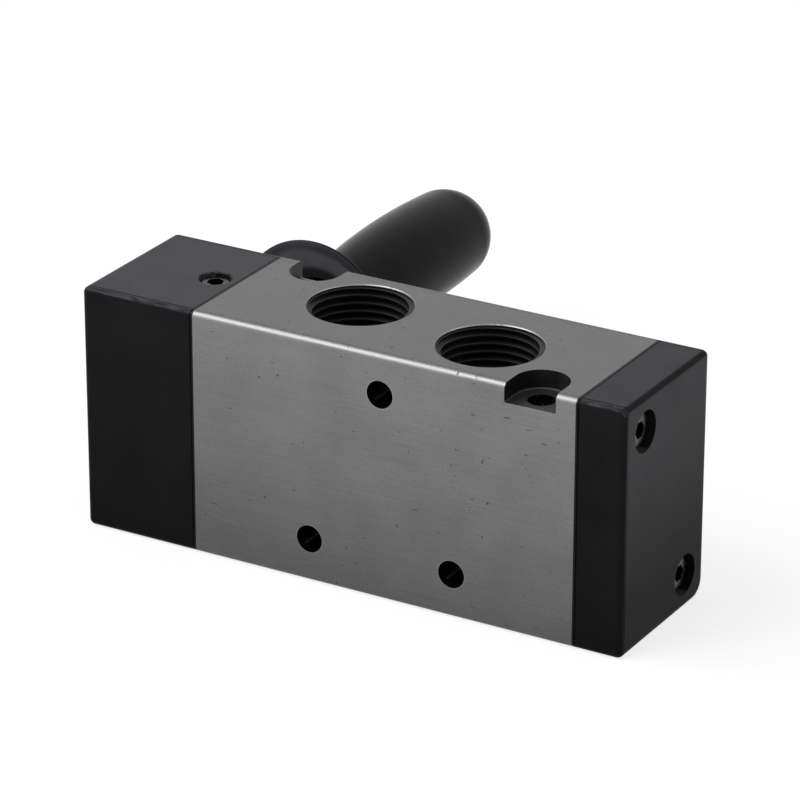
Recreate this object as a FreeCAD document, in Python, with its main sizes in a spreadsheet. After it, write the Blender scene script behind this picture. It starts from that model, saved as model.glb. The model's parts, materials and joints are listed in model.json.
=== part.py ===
import FreeCAD, Part
import math
import os
import Sketcher

# Hand lever air valve: a ported aluminium body with a sliding spool, a lever block on its left end,
# a cover on its right end, and a side lever that swings in a ball seat and carries the spool along.
# Frame: origin at the mouth of the supply port in the underside, +X towards the end cover,
# +Y towards the lever, +Z up. All sizes are millimetres, angles are degrees.

DRIVING_SIZES = [
    ("body_length", 67.0, "ported body along the spool"),
    ("body_depth", 27.0, "body, block and cover across the spool"),
    ("body_height", 40.5, "body, block and cover from underside to top"),
    ("edge_radius", 1.0, "rounding of the long edges"),
    ("block_length", 20.0, "lever block along the spool"),
    ("cover_length", 8.0, "end cover along the spool"),
    ("cap_edge_radius", 1.0, "rounding of the outer end faces"),
    ("cover_corner_radius", 3.0, "rounding of the cover's low edge on the lever's side"),
    ("cut_margin", 1.0, "how far a cut runs out past an open side"),
    ("fit_gap", 0.05, "radial gap of a running or threaded fit"),
    ("spool_bore", 12.5, "bore that the spool slides in"),
    ("port_bore", 16.66, "G3/8 ports, at the major diameter"),
    ("port_depth", 10.0, "depth of the G3/8 ports"),
    ("port_chamfer", 0.15, "chamfer at each port's mouth"),
    ("port_offset", 12.5, "working ports from the middle, along the spool"),
    ("port_stagger", 2.0, "working ports from the middle, across the spool"),
    ("exhaust_bore", 13.16, "G1/4 exhaust ports, at the major diameter"),
    ("exhaust_depth", 9.0, "depth of the exhaust ports"),
    ("exhaust_offset", 23.0, "exhaust ports from the middle"),
    ("chamber_width", 6.4, "ring chamber at the supply and working ports"),
    ("exhaust_chamber_width", 3.4, "ring chamber at the exhaust ports"),
    ("chamber_diameter", 15.2, "outside of the ring chambers"),
    ("passage_length", 9.0, "slot from a port to its chamber, across the spool"),
    ("cross_hole", 4.5, "mounting holes through the depth"),
    ("cross_hole_offset", 12.5, "low mounting holes from the middle"),
    ("cross_hole_low", 7.2, "height of the two low mounting holes"),
    ("cross_hole_high", 34.0, "height of the single high mounting hole"),
    ("notch_offset", 25.6, "down holes from the middle, along the spool"),
    ("notch_diameter", 8.6, "milled seat round a down hole"),
    ("notch_depth", 3.1, "depth of that seat"),
    ("near_notch_inset", 3.6, "right down hole from the near side"),
    ("far_notch_inset", 2.9, "left down hole from the far side"),
    ("down_hole", 4.3, "mounting holes through the height"),
    ("cap_screw", 3.0, "thread of the screws that hold block and cover"),
    ("cap_screw_clearance", 3.3, "their clearance holes"),
    ("cap_screw_head", 5.5, "their heads"),
    ("cap_screw_head_height", 3.0, "height of their heads"),
    ("cap_screw_flats", 2.5, "their hexagon sockets across flats"),
    ("cap_screw_socket_depth", 1.6, "depth of their hexagon sockets"),
    ("cap_screw_across", 7.15, "screws from the middle, across the spool"),
    ("cap_screw_rise", 14.6, "screws above and below the spool"),
    ("cap_counterbore", 6.65, "recess round each head"),
    ("cap_counterbore_depth", 4.0, "depth of that recess"),
    ("cap_screw_grip", 4.0, "thread length in the body"),
    ("cap_thread_spare", 0.7, "tapped hole left past the screw's end"),
    ("cap_seal_diameter", 16.2, "middle circle of the block and cover seals"),
    ("cap_seal_section", 1.3, "thickness of these seals"),
    ("cap_seal_groove", 1.6, "width of their grooves"),
    ("cover_pocket", 4.0, "depth of the spool's room in the cover"),
    ("block_pocket", 17.8, "depth of the spool's room in the block"),
    ("land_gap", 0.1, "radial gap of the spool's lands in the bore"),
    ("neck_diameter", 7.6, "spool between its lands"),
    ("spool_seal_section", 1.8, "thickness of the spool's seal rings"),
    ("spool_seal_groove", 2.0, "width of their grooves"),
    ("land_width", 3.2, "land round one seal ring"),
    ("inner_seal_offset", 7.9, "seals between supply and working ports"),
    ("outer_seal_offset", 17.0, "seals between working and exhaust ports"),
    ("end_seal_inset", 4.3, "seals outside the exhaust ports, from the body's ends"),
    ("spool_nose", 1.0, "spool past its right end land"),
    ("spool_tail", 13.0, "spool past the body's left end"),
    ("lever_inset", 7.85, "lever axis from the body's left end"),
    ("lever_arm", 24.0, "from the spool's axis out to the lever's pivot"),
    ("lever_swing", 8.0, "lever either side of its middle position, in degrees"),
    ("lever_bore", 9.6, "hole that the rod swings in"),
    ("tip_ball", 6.0, "ball end of the rod, inside the spool"),
    ("rod_inner_diameter", 3.8, "rod between tip ball and pivot ball"),
    ("pivot_ball", 10.0, "pivot ball of the rod"),
    ("rod_outer_diameter", 6.0, "rod outside the pivot ball"),
    ("rod_end_inset", 1.0, "end of the rod inside the threaded insert's end"),
    ("rod_chamfer", 0.6, "chamfer at that end"),
    ("housing_diameter", 15.2, "turned housing that holds the ball seats"),
    ("housing_end", 34.5, "end of the housing, from the spool's axis"),
    ("housing_chamfer", 0.6, "chamfer round that end"),
    ("spigot_diameter", 12.6, "threaded spigot of the housing, in the lever block"),
    ("spigot_length", 4.0, "length of that spigot"),
    ("seat_bore", 12.6, "bore for the ball seats"),
    ("seat_length", 4.3, "length of one ball seat"),
    ("seat_split", 0.4, "gap between the two ball seats"),
    ("seat_hole", 8.0, "hole through a ball seat"),
    ("seat_nut_length", 3.0, "ring nut that holds the seats"),
    ("seat_nut_hole", 9.4, "hole through the ring nut"),
    ("seat_nut_slot", 1.6, "spanner slot across the ring nut"),
    ("seat_nut_slot_depth", 1.2, "depth of that slot"),
    ("rim_diameter", 27.2, "dust skirt of the handle"),
    ("rim_gap", 0.5, "from the end of the housing to the skirt's rim"),
    ("rim_width", 0.8, "width of the rim's edge"),
    ("rim_edge_radius", 0.3, "rounding of the rim's edge"),
    ("dish_radius", 28.0, "shallow dish in the skirt's underside"),
    ("dish_edge", 12.6, "radius where the dish meets the rim"),
    ("nut_room", 6.6, "radius of the pocket round the lock nut"),
    ("skirt_depth", 6.0, "depth of that pocket behind the rim"),
    ("flare_radius", 8.0, "hollow flare from the skirt to the neck"),
    ("neck_radius", 6.9, "radius where the grip begins"),
    ("flare_height", 8.5, "from the rim to where the grip begins"),
    ("belly_distance", 23.0, "from there to the thickest place of the grip"),
    ("grip_end_radius", 8.05, "radius of the round end"),
    ("grip_length", 35.0, "from where the grip begins to its round end"),
    ("insert_diameter", 8.0, "threaded insert in the handle"),
    ("insert_length", 15.0, "length of that insert"),
    ("insert_room", 1.0, "room past the insert"),
    ("nut_flats", 10.0, "lock nut across flats"),
    ("nut_height", 5.0, "height of the lock nut"),
    ("nut_chamfer", 0.6, "chamfer of the lock nut's corners"),
    ("detent_inset", 4.0, "detent screw from the body's left end"),
    ("detent_ball_diameter", 5.0, "detent ball"),
    ("detent_groove_radius", 2.6, "radius of the spool's detent grooves"),
    ("detent_groove_depth", 0.5, "depth of the spool's detent grooves"),
    ("detent_screw_length", 5.0, "set screw over the detent spring"),
    ("detent_screw_recess", 0.6, "set screw below the top face"),
    ("detent_socket_flats", 2.5, "its hexagon socket across flats"),
    ("detent_socket_depth", 2.6, "depth of its hexagon socket"),
    ("detent_mouth_chamfer", 0.2, "chamfer of the detent hole's mouth"),
    ("spring_wire", 0.5, "wire of the detent spring"),
    ("spring_coil", 3.8, "middle diameter of the detent spring"),
    ("spring_turns", 4.0, "turns of the detent spring"),
]

doc = FreeCAD.newDocument("hand_lever_valve")
sheet = doc.addObject("Spreadsheet::Sheet", "sizes")


class Size:
    """A length with the spreadsheet formula that gives it, so that models stay bound to the sheet."""

    def __init__(self, value, formula):
        self.value = value
        self.formula = formula

    def __add__(self, other):
        other = as_size(other)
        return Size(self.value + other.value, f"({self.formula} + {other.formula})")

    def __sub__(self, other):
        other = as_size(other)
        return Size(self.value - other.value, f"({self.formula} - {other.formula})")

    def __mul__(self, other):
        other = as_size(other)
        return Size(self.value * other.value, f"({self.formula} * {other.formula})")

    def __truediv__(self, other):
        other = as_size(other)
        return Size(self.value / other.value, f"({self.formula} / {other.formula})")

    def __neg__(self):
        return Size(-self.value, f"(0 - {self.formula})")


class Free:
    """A sketch coordinate that the rest of the outline settles; near is where it starts."""

    def __init__(self, near):
        self.value = near


class Arc:
    """The stretch of an outline that starts at a corner and turns about a centre."""

    def __init__(self, x, y, radius=None, clockwise=False):
        self.x = x
        self.y = y
        self.radius = radius
        self.clockwise = clockwise


def as_size(number):
    return number if isinstance(number, (Size, Free)) else Size(number, f"{number:.9g}")


def root(size):
    return Size(math.sqrt(size.value), f"sqrt({size.formula})")


def leg(hypotenuse, side):
    """The other short side of a right-angled triangle."""
    return root(hypotenuse * hypotenuse - side * side)


size = {}
for row, (alias, number, note) in enumerate(DRIVING_SIZES, 1):
    sheet.set(f"A{row}", alias)
    sheet.set(f"B{row}", f"{number}")
    sheet.set(f"C{row}", note)
    sheet.setAlias(f"B{row}", alias)
    size[alias] = Size(number, f"sizes.{alias}")
doc.recompute()

ZERO = as_size(0)
half_length = size["body_length"] / 2
half_depth = size["body_depth"] / 2
height = size["body_height"]
spool_height = height / 2
block_end = half_length + size["block_length"]
cover_end = half_length + size["cover_length"]
bore_radius = size["spool_bore"] / 2
land_radius = bore_radius - size["land_gap"]
gap = size["fit_gap"]
lever_x = -(half_length + size["lever_inset"])
detent_x = -(half_length + size["detent_inset"])
travel = size["lever_arm"] * size["lever_swing"] * (math.pi / 180)
pivot = size["lever_arm"]
seat_floor = pivot - size["seat_split"] / 2 - size["seat_length"]
seat_top = pivot + size["seat_split"] / 2 + size["seat_length"]
end_seal_offset = half_length - size["end_seal_inset"]
spigot_floor = half_depth - size["spigot_length"]
rim_start = size["housing_end"] + size["rim_gap"]
skirt_roof = rim_start + size["skirt_depth"]
neck_start = rim_start + size["flare_height"]
port_mouths = [
    ("a", -size["port_offset"], size["port_stagger"]),
    ("b", size["port_offset"], -size["port_stagger"]),
]
exhausts = [("r", -size["exhaust_offset"]), ("s", size["exhaust_offset"])]


def bind(thing, name, length):
    thing.setExpression(name, as_size(length).formula)


def new_body(label):
    body = doc.addObject("PartDesign::Body", label)
    body.Label = label
    return body


def place(thing, x=ZERO, y=ZERO, z=ZERO):
    for axis, length in zip("xyz", (x, y, z)):
        bind(thing, f"Placement.Base.{axis}", length)


def fix_point(sketch, geometry, corner, x, y):
    for kind, length in (("DistanceX", as_size(x)), ("DistanceY", as_size(y))):
        if isinstance(length, Free):
            continue
        limit = sketch.addConstraint(Sketcher.Constraint(kind, -1, 1, geometry, corner, length.value))
        sketch.setExpression(f"Constraints[{limit}]", length.formula)


def draw_circle(sketch, x, y, radius):
    x, y, radius = as_size(x), as_size(y), as_size(radius)
    centre = FreeCAD.Vector(x.value, y.value, 0)
    circle = sketch.addGeometry(Part.Circle(centre, FreeCAD.Vector(0, 0, 1), radius.value), False)
    fix_point(sketch, circle, 3, x, y)
    limit = sketch.addConstraint(Sketcher.Constraint("Radius", circle, radius.value))
    sketch.setExpression(f"Constraints[{limit}]", radius.formula)


def draw_outline(sketch, corners, arcs=None):
    """A closed outline through the corners; arcs maps a corner's number to the Arc that leaves it."""
    arcs = arcs or {}
    corners = [(as_size(x), as_size(y)) for x, y in corners]
    strokes = []
    for number, (x, y) in enumerate(corners):
        next_x, next_y = corners[(number + 1) % len(corners)]
        start = FreeCAD.Vector(x.value, y.value, 0)
        end = FreeCAD.Vector(next_x.value, next_y.value, 0)
        if number not in arcs:
            line = sketch.addGeometry(Part.LineSegment(start, end), False)
            strokes.append((line, 1, 2))
            continue
        arc = arcs[number]
        centre = FreeCAD.Vector(as_size(arc.x).value, as_size(arc.y).value, 0)
        circle = Part.Circle(centre, FreeCAD.Vector(0, 0, 1), centre.distanceToPoint(start))
        angles = [math.atan2(point.y - centre.y, point.x - centre.x) for point in (start, end)]
        if arc.clockwise:
            angles.reverse()
        stroke = sketch.addGeometry(Part.ArcOfCircle(circle, angles[0], angles[1]), False)
        strokes.append((stroke, 2, 1) if arc.clockwise else (stroke, 1, 2))
        fix_point(sketch, stroke, 3, arc.x, arc.y)
        if arc.radius is not None:
            radius = as_size(arc.radius)
            limit = sketch.addConstraint(Sketcher.Constraint("Radius", stroke, radius.value))
            sketch.setExpression(f"Constraints[{limit}]", radius.formula)
    for number, (stroke, first, last) in enumerate(strokes):
        following, following_first, _ = strokes[(number + 1) % len(strokes)]
        sketch.addConstraint(Sketcher.Constraint("Coincident", stroke, last, following, following_first))
        fix_point(sketch, stroke, first, *corners[number])


def draw_box(sketch, x_low, x_high, y_low, y_high):
    draw_outline(sketch, [(x_low, y_low), (x_high, y_low), (x_high, y_high), (x_low, y_high)])


def draw_hexagon(sketch, flats):
    """A hexagon round the sketch's origin, by its width across flats."""
    flat = flats / 2
    corner = flats / math.sqrt(3)
    side = corner / 2
    corners = [(corner, ZERO), (side, flat), (-side, flat), (-corner, ZERO), (-side, -flat), (side, -flat)]
    draw_outline(sketch, corners)


def new_sketch(body, plane, name, x=ZERO, y=ZERO, lift=ZERO):
    """A sketch on one of the body's own planes, with its origin moved in the plane and off it."""
    sketch = body.newObject("Sketcher::SketchObject", f"{body.Name}_{name}")
    support = [item for item in body.Origin.OriginFeatures if item.Role == plane][0]
    sketch.AttachmentSupport = (support, [""])
    sketch.MapMode = "FlatFace"
    for axis, length in zip("xyz", (x, y, lift)):
        bind(sketch, f"AttachmentOffset.Base.{axis}", length)
    return sketch


def new_feature(body, kind, name, sketch=None):
    feature = body.newObject(f"PartDesign::{kind}", f"{body.Name}_{name}")
    if sketch is not None:
        feature.Profile = sketch
        sketch.Visibility = False
    return feature


def pad(body, sketch, name, length, backwards=False, both_ways=False):
    feature = new_feature(body, "Pad", name, sketch)
    bind(feature, "Length", length)
    feature.Reversed = backwards
    if both_ways:
        feature.SideType = "Symmetric"
    return feature


def turn(body, sketch, name, axis="V_Axis", kind="Revolution"):
    feature = new_feature(body, kind, name, sketch)
    feature.ReferenceAxis = (sketch, [axis])
    feature.Angle = 360
    return feature


def cut_down(body, sketch, name, depth):
    feature = new_feature(body, "Pocket", name, sketch)
    bind(feature, "Length", depth)
    return feature


def cut_through(body, sketch, name):
    feature = new_feature(body, "Pocket", name, sketch)
    feature.Type = "ThroughAll"
    feature.SideType = "Symmetric"
    return feature


def drill(body, name, steps, plane="XZ_Plane", axis="V_Axis", x=ZERO, y=ZERO, lift=ZERO):
    """A stepped round hole. steps are (place along the axis, radius) pairs, from one end to the other."""
    sketch = new_sketch(body, plane, name, x, y, lift)
    path = [(steps[0][0], ZERO)] + list(steps) + [(steps[-1][0], ZERO)]
    if axis == "V_Axis":
        path = [(radius, along) for along, radius in path]
    draw_outline(sketch, path)
    return turn(body, sketch, f"{name}_cut", axis, "Groove")


def soften(body, name, kind, length, test):
    """Rounds or chamfers the edges of the body so far that pass the test."""
    doc.recompute()
    base = body.Tip
    edges = [f"Edge{number}" for number, edge in enumerate(base.Shape.Edges, 1)
             if not edge.Degenerated and test(edge)]
    if not edges:
        raise RuntimeError(f"{body.Label}: no edges to soften for {name}")
    feature = new_feature(body, kind, name)
    feature.Base = (base, edges)
    bind(feature, "Radius" if kind == "Fillet" else "Size", length)
    body.Tip = feature
    return feature


def runs_along(edge, axis):
    if not isinstance(edge.Curve, Part.Line):
        return False
    return abs(abs(getattr(edge.Curve.Direction, axis)) - 1) < 1e-6


def lies_at(edge, axis, value):
    box = edge.BoundBox
    low, high = getattr(box, f"{axis.upper()}Min"), getattr(box, f"{axis.upper()}Max")
    return abs(low - value) < 1e-4 and abs(high - value) < 1e-4


def is_low_corner(edge):
    return runs_along(edge, "x") and lies_at(edge, "y", half_depth.value) and lies_at(edge, "z", 0)


def is_circle(edge, radius):
    return isinstance(edge.Curve, Part.Circle) and abs(edge.Curve.Radius - radius) < 1e-4


def screw_places(side):
    """The two cap screws of one end: across the spool and up, diagonally opposite each other."""
    across = size["cap_screw_across"]
    rise = size["cap_screw_rise"]
    if side == "right":
        return [(-across, spool_height + rise), (across, spool_height - rise)]
    return [(across, spool_height + rise), (-across, spool_height - rise)]


def port_steps(mouth, floor, radius, inwards):
    """The bore of a port along the height, with the chamfer at its mouth. inwards is +1 or -1."""
    chamfer = size["port_chamfer"]
    return [(mouth, radius + chamfer), (mouth + chamfer * inwards, radius), (floor, radius)]


def make_valve_body():
    body = new_body("valve_body")
    section = new_sketch(body, "YZ_Plane", "section")
    draw_box(section, -half_depth, half_depth, ZERO, height)
    pad(body, section, "bar", size["body_length"], both_ways=True)
    soften(body, "long_edges", "Fillet", size["edge_radius"], lambda edge: runs_along(edge, "x"))

    port_radius = size["port_bore"] / 2
    exhaust_radius = size["exhaust_bore"] / 2
    for name, x, y in port_mouths:
        steps = port_steps(height, height - size["port_depth"], port_radius, -1)
        drill(body, f"port_{name}", steps, x=x, lift=-y)
    drill(body, "port_p", port_steps(ZERO, size["port_depth"], port_radius, 1))
    for name, x in exhausts:
        steps = port_steps(ZERO, size["exhaust_depth"], exhaust_radius, 1)
        drill(body, f"port_{name}", steps, x=x)

    half_passage = size["passage_length"] / 2
    half_chamber = size["chamber_width"] / 2
    half_exhaust = size["exhaust_chamber_width"] / 2
    upper = new_sketch(body, "XY_Plane", "upper_passages", lift=height)
    for name, x, y in port_mouths:
        draw_box(upper, x - half_chamber, x + half_chamber, y - half_passage, y + half_passage)
    cut_down(body, upper, "upper_passages_cut", height - spool_height)
    lower = new_sketch(body, "XY_Plane", "lower_passages", lift=spool_height)
    for middle, half in [(ZERO, half_chamber)] + [(x, half_exhaust) for name, x in exhausts]:
        draw_box(lower, middle - half, middle + half, -half_passage, half_passage)
    cut_down(body, lower, "lower_passages_cut", spool_height)

    bore = new_sketch(body, "YZ_Plane", "bore")
    draw_circle(bore, ZERO, spool_height, bore_radius)
    cut_through(body, bore, "bore_cut")
    chambers = new_sketch(body, "XZ_Plane", "chambers", y=spool_height)
    places = [(ZERO, half_chamber)]
    places += [(x, half_chamber) for name, x, y in port_mouths]
    places += [(x, half_exhaust) for name, x in exhausts]
    for middle, half in places:
        draw_box(chambers, middle - half, middle + half, bore_radius / 2, size["chamber_diameter"] / 2)
    turn(body, chambers, "chambers_cut", "H_Axis", "Groove")

    cross = new_sketch(body, "XZ_Plane", "cross_holes")
    for x, z in [
        (-size["cross_hole_offset"], size["cross_hole_low"]),
        (size["cross_hole_offset"], size["cross_hole_low"]),
        (ZERO, size["cross_hole_high"]),
    ]:
        draw_circle(cross, x, z, size["cross_hole"] / 2)
    cut_through(body, cross, "cross_holes_cut")

    seat_radius = size["notch_diameter"] / 2
    near_y = size["near_notch_inset"] - half_depth
    far_y = half_depth - size["far_notch_inset"]
    outside = half_depth + size["cut_margin"]
    notches = new_sketch(body, "XY_Plane", "notches", lift=height)
    for x, y, side in [(size["notch_offset"], near_y, -1), (-size["notch_offset"], far_y, 1)]:
        reach = seat_radius * side
        corners = [(x + reach, outside * side), (x - reach, outside * side), (x - reach, y), (x + reach, y)]
        draw_outline(notches, corners, {2: Arc(Free(x.value), y)})
    cut_down(body, notches, "notches_cut", size["notch_depth"])
    down = new_sketch(body, "XY_Plane", "down_holes")
    draw_circle(down, size["notch_offset"], near_y, size["down_hole"] / 2)
    draw_circle(down, -size["notch_offset"], far_y, size["down_hole"] / 2)
    cut_through(body, down, "down_holes_cut")

    thread_radius = size["cap_screw"] / 2 + gap
    thread_end = half_length - size["cap_screw_grip"] - size["cap_thread_spare"]
    for side, sign in (("left", -1), ("right", 1)):
        for number, (y, z) in enumerate(screw_places(side), 1):
            steps = [(half_length * sign, thread_radius), (thread_end * sign, thread_radius)]
            drill(body, f"{side}_thread_{number}", steps, axis="H_Axis", y=z, lift=-y)
    return body


def seal_groove(body, face, depth_sign):
    """The ring groove round the spool's room, in the face that meets the valve body."""
    middle = size["cap_seal_diameter"] / 2
    half = size["cap_seal_groove"] / 2
    floor = face + size["cap_seal_section"] * depth_sign
    groove = new_sketch(body, "XZ_Plane", "seal_groove", y=spool_height)
    draw_box(groove, face, floor, middle - half, middle + half)
    turn(body, groove, "seal_groove_cut", "H_Axis", "Groove")


def cap_screw_holes(body, side, face, outer, sign):
    """Clearance holes from the joint face, counterbored for the heads in the outer face."""
    seat = outer - size["cap_counterbore_depth"] * sign
    clearance = size["cap_screw_clearance"] / 2
    recess = size["cap_counterbore"] / 2
    for number, (y, z) in enumerate(screw_places(side), 1):
        steps = [(face, clearance), (seat, clearance), (seat, recess), (outer, recess)]
        drill(body, f"screw_hole_{number}", steps, axis="H_Axis", y=z, lift=-y)


def make_lever_block():
    body = new_body("lever_block")
    section = new_sketch(body, "YZ_Plane", "section", lift=-half_length)
    draw_box(section, -half_depth, half_depth, ZERO, height)
    pad(body, section, "block", size["block_length"], backwards=True)
    soften(body, "long_edges", "Fillet", size["edge_radius"], lambda edge: runs_along(edge, "x"))
    soften(body, "end_edges", "Fillet", size["cap_edge_radius"],
           lambda edge: lies_at(edge, "x", -block_end.value))

    room = [(-half_length, bore_radius), (-(half_length + size["block_pocket"]), bore_radius)]
    drill(body, "spool_room", room, axis="H_Axis", y=spool_height)
    rod_radius = size["lever_bore"] / 2
    thread_radius = size["spigot_diameter"] / 2 + gap
    lever_hole = [
        (ZERO, rod_radius),
        (spigot_floor, rod_radius),
        (spigot_floor, thread_radius),
        (half_depth, thread_radius),
    ]
    drill(body, "lever_hole", lever_hole, plane="XY_Plane", x=lever_x, lift=spool_height)

    hole_radius = size["detent_ball_diameter"] / 2 + gap
    chamfer = size["detent_mouth_chamfer"]
    detent_hole = [(spool_height, hole_radius), (height - chamfer, hole_radius), (height, hole_radius + chamfer)]
    drill(body, "detent_hole", detent_hole, x=detent_x)
    cap_screw_holes(body, "left", -half_length, -block_end, -1)
    seal_groove(body, -half_length, -1)
    return body


def make_end_cover():
    body = new_body("end_cover")
    section = new_sketch(body, "YZ_Plane", "section", lift=half_length)
    draw_box(section, -half_depth, half_depth, ZERO, height)
    pad(body, section, "plate", size["cover_length"])
    soften(body, "long_edges", "Fillet", size["edge_radius"],
           lambda edge: runs_along(edge, "x") and not is_low_corner(edge))
    soften(body, "low_corner", "Fillet", size["cover_corner_radius"], is_low_corner)
    soften(body, "end_edges", "Fillet", size["cap_edge_radius"],
           lambda edge: lies_at(edge, "x", cover_end.value))
    room = [(half_length, bore_radius), (half_length + size["cover_pocket"], bore_radius)]
    drill(body, "spool_room", room, axis="H_Axis", y=spool_height)
    cap_screw_holes(body, "right", half_length, cover_end, 1)
    seal_groove(body, half_length, 1)
    return body


def make_ring(label, diameter, section, x):
    """A rubber ring round the spool's axis."""
    ring = doc.addObject("Part::Torus", label)
    ring.Label = label
    bind(ring, "Radius1", diameter / 2)
    bind(ring, "Radius2", section / 2)
    ring.Placement = FreeCAD.Placement(FreeCAD.Vector(), FreeCAD.Rotation(FreeCAD.Vector(0, 1, 0), 90))
    place(ring, x, ZERO, spool_height)
    return ring


def make_cap_screw(name, grip, outer, y, z, sign):
    """A socket head screw with its head towards the outer face; sign is the side it is put in from."""
    head_height = size["cap_screw_head_height"]
    shank = doc.addObject("Part::Cylinder", f"{name}_shank")
    bind(shank, "Radius", size["cap_screw"] / 2)
    bind(shank, "Height", grip)
    head = doc.addObject("Part::Cylinder", f"{name}_head")
    bind(head, "Radius", size["cap_screw_head"] / 2)
    bind(head, "Height", head_height)
    place(head, z=grip)
    whole = doc.addObject("Part::Fuse", f"{name}_whole")
    whole.Base = shank
    whole.Tool = head
    socket = doc.addObject("Part::Prism", f"{name}_socket")
    socket.Polygon = 6
    bind(socket, "Circumradius", size["cap_screw_flats"] / math.sqrt(3))
    bind(socket, "Height", size["cap_screw_socket_depth"])
    place(socket, z=grip + head_height - size["cap_screw_socket_depth"])
    screw = doc.addObject("Part::Cut", name)
    screw.Base = whole
    screw.Tool = socket
    turned = FreeCAD.Rotation(FreeCAD.Vector(0, 1, 0), 90 * sign)
    screw.Placement = FreeCAD.Placement(FreeCAD.Vector(), turned)
    place(screw, outer - (size["cap_counterbore_depth"] + grip) * sign, y, z)
    return screw


def make_cap_screws(label, side, thickness, outer, sign):
    grip = thickness - size["cap_counterbore_depth"] + size["cap_screw_grip"]
    group = doc.addObject("Part::Compound", label)
    group.Label = label
    group.Links = [
        make_cap_screw(f"{label}_{number}", grip, outer, y, z, sign)
        for number, (y, z) in enumerate(screw_places(side), 1)
    ]
    return group


def spool_profile():
    """The spool's outline from left to right, as corners (place, radius) and its detent arcs."""
    neck = size["neck_diameter"] / 2
    half_land = size["land_width"] / 2
    half_groove = size["spool_seal_groove"] / 2
    seal_floor = bore_radius - gap - size["spool_seal_section"]
    groove_radius = size["detent_groove_radius"]
    groove_centre = land_radius - size["detent_groove_depth"] + groove_radius
    half_detent = leg(groove_radius, groove_radius - size["detent_groove_depth"])
    start = -(half_length + size["spool_tail"])
    corners = [(start, ZERO), (start, land_radius)]
    arcs = {}
    for step in (-1, 0, 1):
        middle = detent_x + travel * step
        arcs[len(corners)] = Arc(Free(middle.value), groove_centre)
        corners += [(middle - half_detent, land_radius), (middle + half_detent, land_radius)]
    offsets = [size["inner_seal_offset"], size["outer_seal_offset"], end_seal_offset]
    for offset in [-place for place in reversed(offsets)] + offsets:
        if offset.value != -offsets[-1].value:
            corners += [(offset - half_land, neck), (offset - half_land, land_radius)]
        corners += [(offset - half_groove, land_radius), (offset - half_groove, seal_floor)]
        corners += [(offset + half_groove, seal_floor), (offset + half_groove, land_radius)]
        corners += [(offset + half_land, land_radius), (offset + half_land, neck)]
    nose = end_seal_offset + half_land + size["spool_nose"]
    corners += [(nose, neck), (nose, ZERO)]
    return corners, arcs


def make_spool():
    body = new_body("spool")
    place(body, z=spool_height)
    profile = new_sketch(body, "XZ_Plane", "profile")
    corners, arcs = spool_profile()
    draw_outline(profile, corners, arcs)
    turn(body, profile, "turned", "H_Axis")
    eye = new_sketch(body, "XZ_Plane", "lever_eye")
    draw_circle(eye, lever_x, ZERO, size["tip_ball"] / 2 + gap)
    cut_through(body, eye, "lever_eye_cut")
    return body


def new_lever_body(label):
    """A body of the lever's own frame: its Y axis is the lever's axis, from the spool outwards."""
    body = new_body(label)
    place(body, lever_x, ZERO, spool_height)
    return body


def make_pivot_housing():
    """The turned sleeve that stands out of the lever block and holds the pivot ball's seats."""
    body = new_lever_body("pivot_housing")
    bore = size["lever_bore"] / 2
    seat = size["seat_bore"] / 2
    outer = size["housing_diameter"] / 2
    spigot = size["spigot_diameter"] / 2
    end = size["housing_end"]
    profile = new_sketch(body, "XY_Plane", "profile")
    draw_outline(profile, [
        (bore, spigot_floor),
        (spigot, spigot_floor),
        (spigot, half_depth),
        (outer, half_depth),
        (outer, end),
        (seat, end),
        (seat, seat_floor),
        (bore, seat_floor),
    ])
    turn(body, profile, "turned")
    soften(body, "end_edge", "Chamfer", size["housing_chamfer"],
           lambda edge: is_circle(edge, outer.value) and lies_at(edge, "y", end.value))
    return body


def make_lever_rod():
    body = new_lever_body("lever_rod")
    inner = size["rod_inner_diameter"] / 2
    outer = size["rod_outer_diameter"] / 2
    tip = size["tip_ball"] / 2
    ball = size["pivot_ball"] / 2
    end = skirt_roof + size["insert_length"] - size["rod_end_inset"]
    chamfer = size["rod_chamfer"]
    profile = new_sketch(body, "XY_Plane", "profile")
    corners = [
        (ZERO, -tip),
        (inner, Free(leg(tip, inner).value)),
        (inner, Free((pivot - leg(ball, inner)).value)),
        (outer, Free((pivot + leg(ball, outer)).value)),
        (outer, end - chamfer),
        (outer - chamfer, end),
        (ZERO, end),
    ]
    draw_outline(profile, corners, {0: Arc(ZERO, ZERO), 2: Arc(ZERO, pivot, ball)})
    turn(body, profile, "turned")
    return body


def make_ball_seat(label, side):
    """One half of the ball's seat: a plastic ring with a round hollow. side is -1 inside, +1 outside."""
    body = new_lever_body(label)
    radius = size["pivot_ball"] / 2 + gap
    hole = size["seat_hole"] / 2
    outer = size["seat_bore"] / 2 - gap
    split = pivot + size["seat_split"] / 2 * side
    back = split + size["seat_length"] * side
    profile = new_sketch(body, "XY_Plane", "profile")
    corners = [
        (hole, back),
        (outer, back),
        (outer, split),
        (Free(leg(radius, size["seat_split"] / 2).value), split),
        (hole, Free((pivot + leg(radius, hole) * side).value)),
    ]
    draw_outline(profile, corners, {3: Arc(ZERO, pivot, radius, clockwise=side < 0)})
    turn(body, profile, "turned")
    return body


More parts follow.
